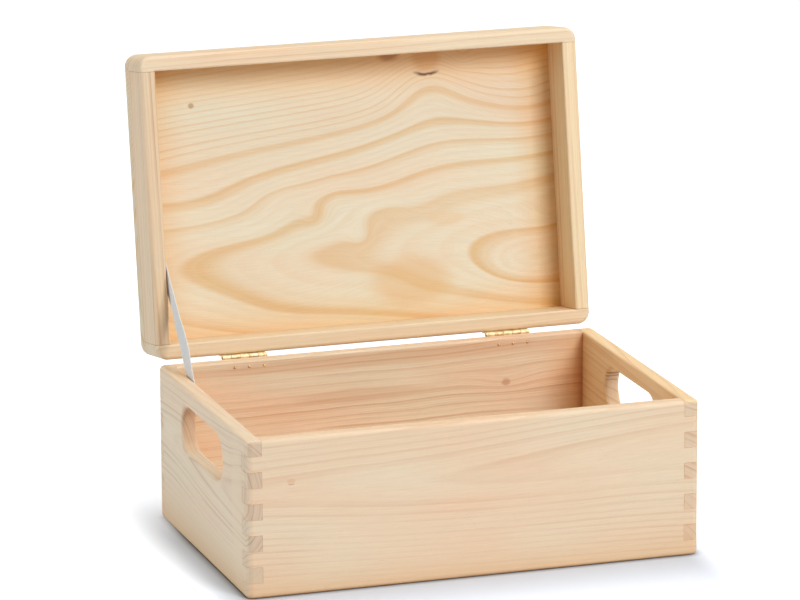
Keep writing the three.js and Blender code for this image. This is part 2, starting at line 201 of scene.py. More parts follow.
EASE = 0.25 * MM  # what a touch of sandpaper takes off a sharp edge
ROUND_FROM = radians(40)  # faces that meet at less than this belong to one rounded surface
SHARP_FROM = radians(60)  # and at more than this in an edge that gets eased
FLAT = radians(0.4)  # and at less than this in one flat face

LID_PIVOT = Vector(frame["joints"][0]["pos_m"])
LID_LEAN = Matrix.Rotation(-radians(frame["joints"][0]["range_deg"][1]), 4, "X")


def smooth_normals(mesh):
    """Lets flat faces shade flat and the rounds between them smooth: each corner takes the mean
    of the faces that it rounds into, counted by their area."""
    bm = bmesh.new()
    bm.from_mesh(mesh)
    normals = []
    for face in bm.faces:
        for loop in face.loops:
            total = Vector()
            for other in loop.vert.link_faces:
                if face.normal.angle(other.normal, 0) < ROUND_FROM:
                    total += other.normal * other.calc_area()
            normals.append(total.normalized() if total.length > 0 else face.normal.copy())
    bm.free()
    mesh.polygons.foreach_set("use_smooth", [True] * len(mesh.polygons))
    mesh.normals_split_custom_set(normals)


def piece(name, bm, material, body, slot, *nodes):
    """Makes a bmesh into a finished piece that stands for CAD nodes and rides on a body, if on one."""
    mesh = bpy.data.meshes.new(name)
    bm.to_mesh(mesh)
    bm.free()
    smooth_normals(mesh)
    mesh.materials.append(material)
    made = bpy.data.objects.new(name, mesh)
    scene.collection.objects.link(made)
    if body:
        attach(made, body)
    if nodes:
        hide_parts(*nodes)
    return made


def eased_board(name, material, body, slot, cad_node):
    """A board with the CAD node's form, its flat faces whole and its sharp edges eased."""
    bm = bmesh.new()
    bm.from_mesh(frame["nodes"][cad_node].data)
    bmesh.ops.remove_doubles(bm, verts=bm.verts, dist=0.002 * MM)
    bmesh.ops.dissolve_limit(bm, angle_limit=FLAT, verts=bm.verts, edges=bm.edges)
    sharp = [edge for edge in bm.edges if edge.calc_face_angle(0) > SHARP_FROM]
    bmesh.ops.bevel(
        bm, geom=sharp, affect="EDGES", offset=EASE, segments=1, profile=0.5, material=-1,
        clamp_overlap=True,
    )
    return piece(name, bm, material, body, slot, cad_node)


def group(name, inputs, outputs):
    """An empty shader node group with its sockets, and its input and output nodes."""
    tree = bpy.data.node_groups.new(name, "ShaderNodeTree")
    for socket, kind, value in inputs:
        made = tree.interface.new_socket(socket, in_out="INPUT", socket_type="NodeSocket" + kind)
        if value is not None:
            made.default_value = value
    for socket, kind in outputs:
        tree.interface.new_socket(socket, in_out="OUTPUT", socket_type="NodeSocket" + kind)
    return tree, tree.nodes.new("NodeGroupInput").outputs, tree.nodes.new("NodeGroupOutput")


def use(tree, which, values):
    """A node group placed in a material, with its own values."""
    made = node(tree, "Group", node_tree=which)
    for socket, value in values.items():
        if isinstance(value, bpy.types.NodeSocket):
            tree.links.new(value, made.inputs[socket])
        else:
            made.inputs[socket].default_value = value
    return made.outputs


def stretched(tree, vector, along, across, **settings):
    """Noise whose flecks are so many millimetres long and wide."""
    scale = (1 / along, 1 / across, 1 / across)
    scaled = node(tree, "VectorMath", {0: vector, 1: scale}, operation="MULTIPLY")
    values = {"Vector": scaled.outputs[0], "Scale": 1.0, **settings}
    return node(tree, "TexNoise", values).outputs["Fac"]


def ramp(tree, value, low, high):
    """0 below low, 1 above high, and a smooth rise between. With low above high it falls."""
    values = {"Value": value, "From Min": low, "From Max": high}
    if low > high:
        values = {"Value": value, "From Min": high, "From Max": low, "To Min": 1.0, "To Max": 0.0}
    return node(tree, "MapRange", values, interpolation_type="SMOOTHSTEP").outputs[0]


# Growth rings in the wood of one board. The vector is in millimetres, X along the grain, Y across
# the board's face and Z into it. Ring gives the dark late wood from 0 to 1.
rings, given, result = group(
    "growth rings",
    [
        ("Vector", "Vector", None),
        ("Pith Across", "Float", 0.0),
        ("Pith Depth", "Float", 60.0),
        ("Taper", "Float", 0.02),
        ("Wave", "Float", 4.0),
        ("Ring Width", "Float", 4.0),
        ("Outer From", "Float", 1000.0),
        ("Outer Width", "Float", 4.0),
        ("Outer Contrast", "Float", 1.0),
        ("Uneven", "Float", 1.6),
        ("Late From", "Float", 0.3),
        ("Minor", "Float", 0.25),
        ("Patchy", "Float", 0.6),
        ("Seed", "Float", 0.0),
    ],
    [("Ring", "Float")],
)
seeds = node(rings, "CombineXYZ", {"X": given["Seed"], "Y": given["Seed"], "Z": given["Seed"]})
far = node(rings, "VectorMath", {0: seeds.outputs[0], 1: (97, 61, 43)}, operation="MULTIPLY")
moved = node(rings, "VectorMath", {0: given["Vector"], 1: far.outputs[0]}, operation="ADD").outputs[0]
place = node(rings, "SeparateXYZ", {"Vector": given["Vector"]}).outputs
slow = calc(rings, "SUBTRACT", stretched(rings, moved, 160, 38, Detail=1.0), 0.5)
quick = calc(rings, "SUBTRACT", stretched(rings, moved, 34, 5, Detail=1.0), 0.5)
sway = calc(rings, "ADD", slow, calc(rings, "MULTIPLY", quick, 0.12))
sway = calc(rings, "MULTIPLY", sway, given["Wave"])
across = calc(rings, "ADD", calc(rings, "SUBTRACT", place["Y"], given["Pith Across"]), sway)
depth = calc(rings, "ADD", place["Z"], given["Pith Depth"])
across2 = calc(rings, "MULTIPLY", across, across)
reach = calc(rings, "SQRT", calc(rings, "MULTIPLY_ADD", depth, depth, across2))
reach = calc(rings, "SUBTRACT", reach, calc(rings, "MULTIPLY", place["X"], given["Taper"]))
growth = calc(rings, "ADD", calc(rings, "DIVIDE", reach, given["Ring Width"]), given["Seed"])
past = calc(rings, "MAXIMUM", calc(rings, "SUBTRACT", reach, given["Outer From"]), 0.0)
growth = calc(rings, "ADD", growth, calc(rings, "DIVIDE", past, given["Outer Width"]))
uneven = node(
    rings, "TexNoise", {"W": calc(rings, "MULTIPLY", growth, 0.45), "Scale": 1.0},
    noise_dimensions="1D",
).outputs["Fac"]
growth = calc(rings, "ADD", growth, calc(rings, "MULTIPLY", uneven, given["Uneven"]))
part = calc(rings, "FRACT", growth)
vigour = node(
    rings, "TexWhiteNoise", {"W": calc(rings, "FLOOR", growth)}, noise_dimensions="1D",
).outputs["Value"]
late = node(rings, "MapRange", {
    "Value": part, "From Min": given["Late From"], "From Max": 0.9,
}, interpolation_type="SMOOTHSTEP").outputs[0]
dark = calc(rings, "MULTIPLY", late, ramp(rings, part, 1.0, 0.89))
dark = calc(rings, "MULTIPLY", dark, calc(rings, "MULTIPLY_ADD", vigour, 0.6, 0.4))
between = calc(rings, "FRACT", calc(rings, "MULTIPLY", growth, 3.7))
between = calc(rings, "MULTIPLY", ramp(rings, between, 0.2, 0.8), ramp(rings, between, 1.0, 0.85))
dark = calc(rings, "ADD", dark, calc(rings, "MULTIPLY", between, given["Minor"]))
strong = ramp(rings, stretched(rings, moved, 150, 30, Detail=1.0), 0.36, 0.60)
weak = calc(rings, "SUBTRACT", 1.0, given["Patchy"])
strong = calc(rings, "MULTIPLY_ADD", strong, given["Patchy"], weak)
fading = calc(rings, "SUBTRACT", 1.0, given["Outer Contrast"])
loss = calc(rings, "MULTIPLY", ramp(rings, past, 0, 14), fading)
strong = calc(rings, "MULTIPLY", strong, calc(rings, "SUBTRACT", 1.0, loss))
rings.links.new(calc(rings, "MULTIPLY", dark, strong), result.inputs["Ring"])

# The look of sanded pine: early and late wood, the fine fibres along the grain, short resin
# flecks and slow changes of tint. Where the board is cut across its grain it has no fibres, its
# rings are stronger, and a tint of its own is multiplied in.
pine, given, result = group(
    "sanded pine",
    [
        ("Vector", "Vector", None),
        ("Ring", "Float", 0.0),
        ("End Grain", "Float", 0.0),
        ("End Tint", "Color", (0.95, 0.95, 0.97, 1)),
        ("Early Wood", "Color", (0.8, 0.6, 0.4, 1)),
        ("Late Wood", "Color", (0.6, 0.4, 0.2, 1)),
        ("Contrast", "Float", 1.0),
        ("Fibre", "Float", 1.0),
        ("Tint", "Float", 0.14),
        ("Seed", "Float", 0.0),
    ],
    [("Color", "Color"), ("Roughness", "Float"), ("Height", "Float")],
)
shift = node(pine, "CombineXYZ", {"X": given["Seed"], "Y": given["Seed"], "Z": given["Seed"]})
far = node(pine, "VectorMath", {0: shift.outputs[0], 1: (53, 71, 29)}, operation="MULTIPLY").outputs[0]
vector = node(pine, "VectorMath", {0: given["Vector"], 1: far}, operation="ADD").outputs[0]
coarse = stretched(pine, vector, 30, 0.9, Detail=3.0)
fine = stretched(pine, vector, 10, 0.28, Detail=2.0)
fleck = ramp(pine, stretched(pine, vector, 3.2, 0.42, Detail=1.0), 0.64, 0.76)
tint = stretched(pine, vector, 120, 34, Detail=1.0)
end = given["End Grain"]
face = calc(pine, "SUBTRACT", 1.0, end)
ring = calc(pine, "MULTIPLY", given["Ring"], given["Contrast"])
ring = calc(pine, "MULTIPLY", ring, calc(pine, "MULTIPLY_ADD", end, 0.3, 1.0))
# a Mix node's colours are its inputs 6 and 7 and its output 2
wood = node(pine, "Mix", {0: ring, 6: given["Early Wood"], 7: given["Late Wood"]}, data_type="RGBA")
streak = calc(pine, "MULTIPLY", calc(pine, "SUBTRACT", coarse, 0.5), 0.15)
streak = calc(pine, "MULTIPLY_ADD", calc(pine, "SUBTRACT", fine, 0.5), 0.13, streak)
streak = calc(pine, "MULTIPLY_ADD", fleck, -0.07, streak)
streak = calc(pine, "MULTIPLY", calc(pine, "MULTIPLY", streak, given["Fibre"]), face)
value = calc(pine, "ADD", streak, 1.0)
drift = calc(pine, "MULTIPLY", calc(pine, "SUBTRACT", tint, 0.5), given["Tint"])
level = node(pine, "CombineXYZ", {
    "X": calc(pine, "MULTIPLY_ADD", drift, 0.4, value),
    "Y": calc(pine, "SUBTRACT", value, drift),
    "Z": calc(pine, "MULTIPLY_ADD", drift, -1.6, value),
}).outputs[0]
tinted = node(pine, "VectorMath", {0: wood.outputs[2], 1: level}, operation="MULTIPLY").outputs[0]
ends = node(pine, "Mix", {0: end, 6: (1, 1, 1, 1), 7: given["End Tint"]}, data_type="RGBA").outputs[2]
tinted = node(pine, "VectorMath", {0: tinted, 1: ends}, operation="MULTIPLY").outputs[0]
pine.links.new(tinted, result.inputs["Color"])
pine.links.new(calc(pine, "MULTIPLY_ADD", end, 0.15, 0.60), result.inputs["Roughness"])
height = calc(pine, "MULTIPLY_ADD", given["Ring"], 0.5, calc(pine, "MULTIPLY", fine, 0.6))
pine.links.new(calc(pine, "SUBTRACT", height, fleck), result.inputs["Height"])


def along_board(tree, middle, turn):
    """The place in a board in millimetres, X along its grain, Y across its face, Z into it."""
    place = node(tree, "TexCoord").outputs["Object"]
    values = {"Vector": place, "Location": middle, "Rotation": turn.to_euler(), "Scale": (MM, MM, MM)}
    return node(tree, "Mapping", values, vector_type="TEXTURE").outputs[0]


def end_grain(tree, turn):
    """1 where the surface cuts across the grain and 0 where it runs along it."""
    normal = node(tree, "TexCoord").outputs["Normal"]
    grain = tuple(turn.to_3x3().col[0])
    facing = node(tree, "VectorMath", {0: normal, 1: grain}, operation="DOT_PRODUCT").outputs["Value"]
    return ramp(tree, calc(tree, "ABSOLUTE", facing), 0.55, 0.85)


# A knot: the cut branch itself, and the dark bark on the side that the +Y of its size points to.
knot, given, result = group(
    "knot",
    [("Vector", "Vector", None), ("Centre", "Vector", None), ("Size", "Vector", None)],
    [("Heart", "Float"), ("Bark", "Float")],
)
away = node(knot, "VectorMath", {0: given["Vector"], 1: given["Centre"]}, operation="SUBTRACT")
away = node(knot, "VectorMath", {0: away.outputs[0], 1: given["Size"]}, operation="DIVIDE").outputs[0]
flat = node(knot, "VectorMath", {0: away, 1: (1, 1, 0)}, operation="MULTIPLY").outputs[0]
span = node(knot, "VectorMath", {0: flat}, operation="LENGTH").outputs["Value"]
rough = node(knot, "TexNoise", {"Vector": flat, "Scale": 1.4, "Detail": 2.0}).outputs["Fac"]
span = calc(knot, "MULTIPLY_ADD", calc(knot, "SUBTRACT", rough, 0.5), 0.3, span)
low = ramp(knot, node(knot, "SeparateXYZ", {"Vector": flat}).outputs["Y"], 0.72, 0.97)
bark = ramp(knot, calc(knot, "ABSOLUTE", calc(knot, "SUBTRACT", span, 1.0)), 0.16, 0.0)
knot.links.new(ramp(knot, span, 1.1, 0.5), result.inputs["Heart"])
knot.links.new(calc(knot, "MULTIPLY", bark, low), result.inputs["Bark"])


# A place where the tree's rings bend: round a centre the vector that they follow is moved, most
# in the middle and not at all beyond its reach.
bend, given, result = group(
    "bend",
    [("Straight", "Vector", None), ("Vector", "Vector", None), ("Centre", "Vector", None),
     ("Reach", "Vector", None), ("Move", "Vector", None)],
    [("Vector", "Vector")],
)
away = node(bend, "VectorMath", {0: given["Straight"], 1: given["Centre"]}, operation="SUBTRACT")
away = node(bend, "VectorMath", {0: away.outputs[0], 1: given["Reach"]}, operation="DIVIDE").outputs[0]
away = node(bend, "VectorMath", {0: away, 1: away}, operation="DOT_PRODUCT").outputs["Value"]
share = calc(bend, "EXPONENT", calc(bend, "MULTIPLY", away, -1.0))
share = node(bend, "VectorMath", {0: given["Move"], "Scale": share}, operation="SCALE").outputs[0]
bent = node(bend, "VectorMath", {0: given["Vector"], 1: share}, operation="ADD")
bend.links.new(bent.outputs[0], result.inputs["Vector"])

PAINTED_SHADE_REACH = 30 * MM  # how far from a corner the painted shade in it reaches
PAINTED_SHADE_GOLD = colour(245, 184, 38)  # the painted shade, deep and golden, that closed places are multiplied by
KEY_LEAN = Vector((0.3, -0.8, 0.53))  # towards the key lamp


def pine_board(name, middle, turn, early, late, seed, pith=(0, 60), bends=(), knots=(),
               contrast=1.0, fibre=1.0, tint=0.14, painted_shade=0.8, lean=1.0, end=(0.95, 0.95, 0.97), **growth):
    """Pine as one board was sawn from its log. A bend is (centre, reach, move), each along the
    board and across it, and the move also in depth. A knot is (its centre, its size, the colour
    and strength of its heart, and of its bark); one without bark is a plain patch of colour. Both
    go right through the board. Closed places get painted shade, a deep golden tint: one value
    says how deep, and lean how far they are looked for towards the key lamp. Both were set to
    suit this light, and so was end, the tint of the end grain."""
    made, tree, output = new_material(name)
    straight = along_board(tree, middle, turn)
    vector = straight
    for centre, reach, move in bends:
        vector = use(tree, bend, {
            "Straight": straight, "Vector": vector, "Centre": (*centre, 0), "Reach": (*reach, 1000),
            "Move": move,
        })["Vector"]
    ring = use(tree, rings, {
        "Vector": vector, "Pith Across": pith[0], "Pith Depth": pith[1], "Seed": seed,
        **{key.replace("_", " ").title(): value for key, value in growth.items()},
    })["Ring"]
    look = use(tree, pine, {
        "Vector": vector, "Ring": ring, "End Grain": end_grain(tree, turn), "End Tint": (*end, 1),
        "Early Wood": early, "Late Wood": late, "Contrast": contrast, "Fibre": fibre, "Tint": tint,
        "Seed": seed,
    })
    shade = look["Color"]
    for centre, size, *marks in knots:
        parts = use(tree, knot, {"Vector": straight, "Centre": centre, "Size": size})
        for part, (wood, strength) in zip(("Heart", "Bark"), marks):
            share = calc(tree, "MULTIPLY", parts[part], strength)
            mixed = node(tree, "Mix", {0: share, 6: shade, 7: wood}, data_type="RGBA")
            shade = mixed.outputs[2]
    # painted shade: closed places, looked for towards the key lamp, are multiplied by a deep golden tint
    towards = node(tree, "VectorMath", {
        0: node(tree, "NewGeometry").outputs["Normal"], 1: KEY_LEAN * lean,
    }, operation="ADD").outputs[0]
    towards = node(tree, "VectorMath", {0: towards}, operation="NORMALIZE").outputs[0]
    open_sky = node(
        tree, "AmbientOcclusion", {"Distance": PAINTED_SHADE_REACH, "Normal": towards}, samples=8,
    ).outputs["AO"]
    closed = calc(tree, "MULTIPLY", calc(tree, "SUBTRACT", 1.0, open_sky), painted_shade)
    shade = node(tree, "Mix", {
        0: closed, 6: shade, 7: PAINTED_SHADE_GOLD,
    }, data_type="RGBA", blend_type="MULTIPLY").outputs[2]
    relief = node(tree, "Bump", {"Height": look["Height"], "Strength": 0.12, "Distance": 0.12 * MM})
    surface = node(tree, "BsdfPrincipled", {
        "Base Color": shade, "Roughness": look["Roughness"], "Normal": relief.outputs[0],
        "Specular IOR Level": 0.3,
    })
    tree.links.new(surface.outputs[0], output.inputs["Surface"])
    return made


def middle_of(cad_node):
    """The middle of a CAD node's box."""
    low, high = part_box(cad_node)
    return (low + high) / 2


FRONT_GRAIN = Euler((pi / 2, 0, 0)).to_matrix().to_4x4()
front_pine = pine_board(
    "front pine", middle_of("front_panel"), FRONT_GRAIN, colour(234, 210, 181), colour(218, 177, 140),
    seed=3.583, pith=(15, 20), taper=0.025, wave=3, ring_width=4.8, outer_from=31,
    outer_width=9.6, uneven=0.0, late_from=0.45, minor=0.25, contrast=0.48, tint=0.2,
    end=(0.95, 1.06, 1.19),
    bends=[((150, 26), (110, 44), (0, -8, 0)), ((-140, 0), (60, 30), (0, -3, 0))],
    knots=[((-121, 23, 0), (3.2, -2.1, 1), (colour(222, 170, 136), 0.5), (colour(150, 84, 52), 0.8))],
)
eased_board("front_board", front_pine, "box", "pine_body", "front_panel")

# ------------------------------------------------------------------ the back board
# The same board at the back, its wood pinker and more streaked. The nails of the hinges come
# through it, in two rows of three.

back_pine = pine_board(
    "back pine", middle_of("back_panel"), FRONT_GRAIN, colour(238, 215, 188), colour(203, 148, 102),
    seed=12.4, pith=(-150, 60), taper=0.012, wave=11, ring_width=5.4, late_from=0.5, minor=0.3,
    contrast=0.6, patchy=0.8, tint=0.34, fibre=1.5, end=(0.95, 1.04, 1.12),
    bends=[((86, 22), (20, 9), (0, 4, 0))],
    knots=[
        ((86, 21, 0), (3.8, 2.6, 1), (colour(200, 146, 112), 0.65), (colour(150, 100, 62), 0.3)),
        ((0, 45, 0), (170, 6, 1), (colour(208, 150, 104), 0.34)),
        ((-12, 21, 0), (60, 6, 1), (colour(206, 150, 108), 0.28)),
        ((152, 0, 0), (19, 110, 1), (colour(160, 90, 50), 0.75)),  # painted shade, dark in the far corner
        ((152, 0, 0), (12, 110, 1), (colour(221, 190, 158), 1.0)),  # and pale again in the fingers
    ],
)
eased_board("back_board", back_pine, "box", "pine_body", "back_panel")

# ------------------------------------------------------------------ the side boards
# The two ends, with a hand hole routed through each and its edges rounded over. Their grain
# runs from front to back and their fingers own the top row.

SIDE_GRAIN = Euler((pi / 2, 0, pi / 2)).to_matrix().to_4x4()
left_pine = pine_board(
    "left pine", middle_of("left_panel"), SIDE_GRAIN, colour(233, 214, 187), colour(194, 162, 134),
    seed=5.7, pith=(11, 35), taper=-0.035, wave=5, ring_width=3.4, outer_from=42,
    outer_width=1000, outer_contrast=0.55, late_from=0.5, minor=0.2, contrast=0.66, patchy=0.6,
    lean=0.5, end=(0.845, 0.792, 0.786),
    bends=[((-90, 34), (20, 14), (0, -5, 0)), ((60, -10), (50, 20), (0, -4, 0))],
    knots=[
        ((0, -46, 0), (150, 24, 1), (colour(230, 210, 182), 0.8)),  # smooth along the bottom
        ((-78, 4, 0), (14, 60, 1), (colour(233, 214, 187), 0.6)),  # and towards the front
        ((38, 24, 0), (10, 18, 1), (colour(218, 180, 148), 0.7)),  # the hand hole's end, darker and plainer: partly painted shade, partly muting its rings
    ],
)
eased_board("left_board", left_pine, "box", "pine_body", "left_panel")
right_pine = pine_board(
    "right pine", middle_of("right_panel"), SIDE_GRAIN, colour(242, 212, 169), colour(216, 169, 120),
    seed=1.9, pith=(-90, 60), taper=0.03, wave=6, ring_width=5.0, late_from=0.5, minor=0.2,
    contrast=0.65, lean=0.5, end=(0.84, 0.87, 1.02), knots=[
        ((39, 34.0, 0), (7, 1.0, 1), (colour(140, 84, 54), 0.6)),  # dark rings in the hand hole
        ((41, 31.6, 0), (6, 0.8, 1), (colour(140, 84, 54), 0.5)),
        ((42, 28.6, 0), (5, 0.9, 1), (colour(140, 84, 54), 0.4)),
    ],
)
eased_board("right_board", right_pine, "box", "pine_body", "right_panel")

# ------------------------------------------------------------------ the bottom
# A sheet of thin plywood let into a rebate round the four boards' lower inside edges. The
# photograph doesn't show it, so its wood is plain.

bottom_ply = pine_board(
    "bottom ply", middle_of("bottom_panel"), Matrix.Identity(4), colour(222, 196, 160),
    colour(206, 172, 128), seed=6.4, pith=(0, 30), taper=0.03, wave=10, ring_width=9, contrast=0.7,
)
eased_board("bottom", bottom_ply, "box", "plywood", "bottom_panel")

# ------------------------------------------------------------------ the lid's rails
# Four rails under the wide board. The front and back ones run the whole width and their ends
# are rounded; the side ones are butted between them.

RAIL_GRAIN = LID_LEAN @ FRONT_GRAIN
END_RAIL_GRAIN = LID_LEAN @ SIDE_GRAIN
# a brown streak on the left rail's rim, with the tape's shadow painted into it
TAPE_SHADOW_AND_STREAK = [((80, -21, 0), (13, 6, 1), (colour(170, 122, 84), 0.6))]
rail_woods = {
    "front": (RAIL_GRAIN, colour(237, 217, 187), colour(214, 174, 132), 2.3, ()),
    "back": (RAIL_GRAIN, colour(236, 217, 187), colour(222, 188, 150), 4.0, ()),
    "left": (END_RAIL_GRAIN, colour(232, 208, 176), colour(196, 152, 108), 5.7, TAPE_SHADOW_AND_STREAK),
    "right": (END_RAIL_GRAIN, colour(243, 221, 184), colour(216, 173, 124), 7.4, ()),
}
for side, (turn, early, late, seed, marks) in rail_woods.items():
    rail = f"lid_{side}_rail"
    rail_pine = pine_board(
        f"{side} rail pine", middle_of(rail), turn, early, late, seed=seed, pith=(-60, 40),
        taper=0.01, wave=4, ring_width=3.2, late_from=0.45, contrast=0.7, painted_shade=0.45, lean=0.5,
        knots=marks,
    )
    eased_board(f"lid_{side}", rail_pine, "lid", "pine_lid", rail)

# ------------------------------------------------------------------ the lid's board
# One wide plain-sawn board. Its rings show as bold golden arches that open to the right and step
# up across the middle, closer lines above them, and a knot at the top edge that draws them up.

ARCH_AXIS = 44  # the arches' middle line, from the board's middle towards its hinged edge
board_pine = pine_board(
    "lid board pine", middle_of("lid_board"), LID_LEAN, colour(238, 226, 202), colour(228, 193, 143),
    seed=240, pith=(ARCH_AXIS, 50), taper=0.115, wave=2, ring_width=12, outer_from=97,
    outer_width=4.8, outer_contrast=0.7, uneven=0.0, late_from=0.5, minor=0.18, patchy=0.2,
    contrast=0.86, tint=0.2, painted_shade=1.05, end=(0.885, 0.935, 0.98),
    bends=[
        ((54, -70), (30, 26), (0, 18, 0)),  # under the knot
        ((60, -20), (46, 26), (0, 7, 0)),
        ((79, -82), (9, 8), (0, -7, 0)),
        ((128, -46), (34, 20), (0, -9, 0)),  # beyond it
        ((-140, -55), (90, 34), (0, 5, 0)),  # the level lines on the left
        ((-105, 6), (50, 22), (0, -10, 0)),
        ((-56, 28), (38, 12), (0, -6, 0)),  # the steps across the middle
        ((-48, 2), (22, 9), (0, 6, 0)),
        ((-28, 18), (10, 9), (0, -4, 0)),
        ((-12, 5), (18, 12), (0, 8, 0)),
        ((2, 33), (9, 8), (0, -7, 0)),
        ((17, 17), (18, 12), (0, 9, 0)),
        ((58, 4), (34, 12), (0, 4, 0)),
        ((-34, 44), (24, 14), (14, 3, 0)),  # the second arch
        ((14, 60), (30, 10), (0, 6, 0)),
        ((-60, 78), (50, 16), (0, -6, 0)),
        ((120, 40), (32, 22), (0, -12, 0)),  # the third arch, nearly closed
        ((118, 56), (30, 18), (0, 0, -8)),
        ((142, 28), (22, 12), (0, -9, 0)),
    ],
    knots=[
        ((54, -84, 0), (12, 11.5, 1), (colour(222, 172, 120), 0.5), (colour(104, 56, 28), 0.95)),
        ((28, -89, 0), (10, 7, 1), (colour(168, 98, 56), 0.6)),
        ((-109, -63, 0), (2.4, 2.2, 1), (colour(184, 156, 116), 0.8)),  # a pin knot
        ((36, 64, 0), (34, 20, 1), (colour(231, 186, 124), 0.5)),  # two golden patches
        ((62, 24, 0), (16, 6, 1), (colour(233, 196, 142), 0.35)),
    ],
)
eased_board("lid_top", board_pine, "lid", "pine_lid", "lid_board")

# ------------------------------------------------------------------ the hinges
# Two small butt hinges of rolled brass strip, 30 mm long. Each leaf is bent round the pin into
# its knuckles, three on the box's leaf and two on the lid's, and the pin is riveted at both ends.

HINGE_LENGTH = 30 * MM
HINGE_REACH = 91 * MM  # from the box's middle to a hinge's middle
BARREL_RADIUS = 1.6 * MM
LEAF_THICKNESS = 0.9 * MM
LEAF_HEIGHT = 8 * MM
LEAF_TOP = 1.9 * MM  # from the pin's line down to the plate, between the knuckles
KNUCKLES = 5
KNUCKLE_GAP = 0.2 * MM
PIN_RADIUS = 0.75 * MM
PIN_CAP = 0.55 * MM
PIN_CAP_RADIUS = 1.25 * MM
STRIP_EASE = 0.1 * MM
MERGE = 0.001 * MM  # points nearer to each other than this are one

LID_OPEN = Matrix.Translation(LID_PIVOT) @ LID_LEAN @ Matrix.Translation(-LID_PIVOT)


def metal(name, tint, worn, roughness):
    """Drawn and tumbled metal: a tint that wanders, fine rubbed lines and a duller film."""
    made, tree, output = new_material(name)
    place = node(tree, "TexCoord").outputs["Object"]
    film = node(tree, "TexNoise", {"Vector": place, "Scale": 420.0, "Detail": 3.0}).outputs["Fac"]
    drawn = node(tree, "VectorMath", {0: place, 1: (400, 6000, 6000)}, operation="MULTIPLY")
    lines = node(tree, "TexNoise", {"Vector": drawn.outputs[0], "Scale": 1.0}).outputs["Fac"]
    mixed = node(tree, "Mix", {0: ramp(tree, film, 0.35, 0.75), 6: tint, 7: worn}, data_type="RGBA")
    dull = calc(tree, "MULTIPLY_ADD", film, 0.22, calc(tree, "MULTIPLY_ADD", lines, 0.10, roughness))
    relief = node(tree, "Bump", {"Height": lines, "Strength": 0.15, "Distance": 0.03 * MM})
    surface = node(tree, "BsdfPrincipled", {
        "Base Color": mixed.outputs[2], "Metallic": 1.0, "Roughness": dull,
        "Normal": relief.outputs[0],
    })
    tree.links.new(surface.outputs[0], output.inputs["Surface"])
    return made


def leaf(first_knuckle, upward):
    """A hinge leaf about a pin along X through the origin, its plate on the wood's side of it."""
    bm = bmesh.new()
    half = HINGE_LENGTH / 2
    pitch = HINGE_LENGTH / KNUCKLES
    back = -BARREL_RADIUS
    front = back + LEAF_THICKNESS
    owned = range(first_knuckle, KNUCKLES, 2)
    spans = [
        (-half + i * pitch + KNUCKLE_GAP / 2 if i else -half,
         half if i == KNUCKLES - 1 else -half + (i + 1) * pitch - KNUCKLE_GAP / 2) for i in owned
    ]
    stations = sorted({-half, half, *(x for span in spans for x in span)})
    rows = [
        [bm.verts.new((x, y, z)) for y, z in (
            (back, -LEAF_TOP), (back, -LEAF_HEIGHT), (front, -LEAF_HEIGHT), (front, -LEAF_TOP),
        )] for x in stations
    ]
    bm.faces.new(rows[0])
    bm.faces.new(rows[-1])
    for left, right, x in zip(rows, rows[1:], stations):
        for i in range(3):
            bm.faces.new((left[i], left[i + 1], right[i + 1], right[i]))
        if not any(low <= x < high for low, high in spans):
            bm.faces.new((left[3], left[0], right[0], right[3]))
    turn_end = pi + acos(-front / BARREL_RADIUS)  # where the rolled strip meets the plate
    arc = [pi - i * turn_end / 30 for i in range(31)]
    ring = [(BARREL_RADIUS * cos(angle), BARREL_RADIUS * sin(angle)) for angle in arc]
    outline = [(back, -LEAF_TOP), *ring, (front, -LEAF_TOP)]
    for low, high in spans:
        ends = [[bm.verts.new((x, y, z)) for y, z in outline] for x in (low, high)]
        for i in range(len(outline) - 1):
            bm.faces.new((ends[0][i], ends[0][i + 1], ends[1][i + 1], ends[1][i]))
        for end in ends:
            bm.faces.new(end)
    bmesh.ops.remove_doubles(bm, verts=bm.verts, dist=MERGE)
    if upward:
        bmesh.ops.scale(bm, verts=bm.verts, vec=(1, 1, -1))
    bmesh.ops.recalc_face_normals(bm, faces=bm.faces)
    sharp = [edge for edge in bm.edges if edge.calc_face_angle(0) > SHARP_FROM]
    bmesh.ops.bevel(
        bm, geom=sharp, affect="EDGES", offset=STRIP_EASE, segments=2, profile=0.5, material=-1,
        clamp_overlap=True,
    )
    return bm


def turned(profile, steps=24):
    """A turned piece from (radius, height) points, its axis along Z. Its ends lie on the axis."""
    bm = bmesh.new()
    line = [bm.verts.new((radius, 0, height)) for radius, height in profile]
    edges = [bm.edges.new(pair) for pair in zip(line, line[1:])]
    bmesh.ops.spin(
        bm, geom=[*line, *edges], cent=(0, 0, 0), axis=(0, 0, 1), angle=2 * pi, steps=steps,
        use_merge=True,
    )
    bmesh.ops.remove_doubles(bm, verts=bm.verts, dist=MERGE)
    bmesh.ops.recalc_face_normals(bm, faces=bm.faces)
    return bm


def dome(radius, height, base, steps=6):
    """The profile of a rounded head from its rim to its top."""
    angles = [i * pi / 2 / steps for i in range(steps)]
    rim = [(radius * cos(angle), base + height * sin(angle)) for angle in angles]
    return [*rim, (0, base + height)]


def placed(bm, *steps):
    """Moves a bmesh by one matrix after another, the first one first."""
    for step in steps:
        bmesh.ops.transform(bm, matrix=step, verts=bm.verts)
    return bm


